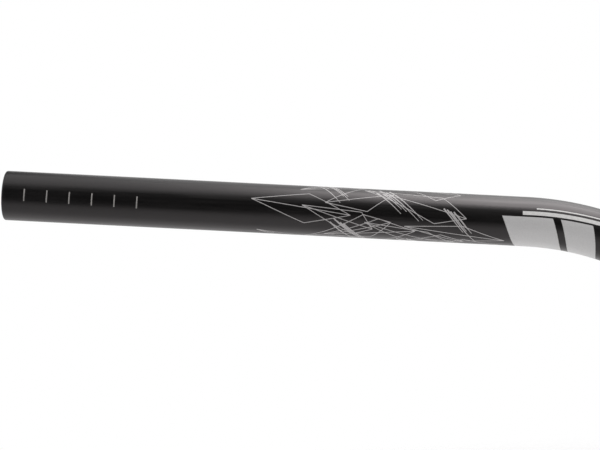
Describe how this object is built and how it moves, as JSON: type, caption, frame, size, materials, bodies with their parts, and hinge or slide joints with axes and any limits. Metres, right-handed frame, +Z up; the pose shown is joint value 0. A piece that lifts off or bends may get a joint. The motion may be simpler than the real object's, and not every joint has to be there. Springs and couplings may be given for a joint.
{
  "type": "riser handlebar",
  "caption": "Bent and butted tube handlebar with raised, swept-back grips and a thick middle for a stem clamp, open at both ends.",
  "frame": {"origin": "middle of the stem clamp, on the axis of the bar", "axes": "+X along the clamp to the right-hand end as seen from the front, +Z up towards the raised grips, front faces -Y and the grips sweep back towards +Y"},
  "size_m": [0.7836, 0.067, 0.0774],
  "materials": {
    "black_finish": "satin",
    "line_print": "satin",
    "silver_print": "satin"
  },
  "bodies": {
    "root": {"handlebar": "black_finish"}
  },
  "joints": []
}
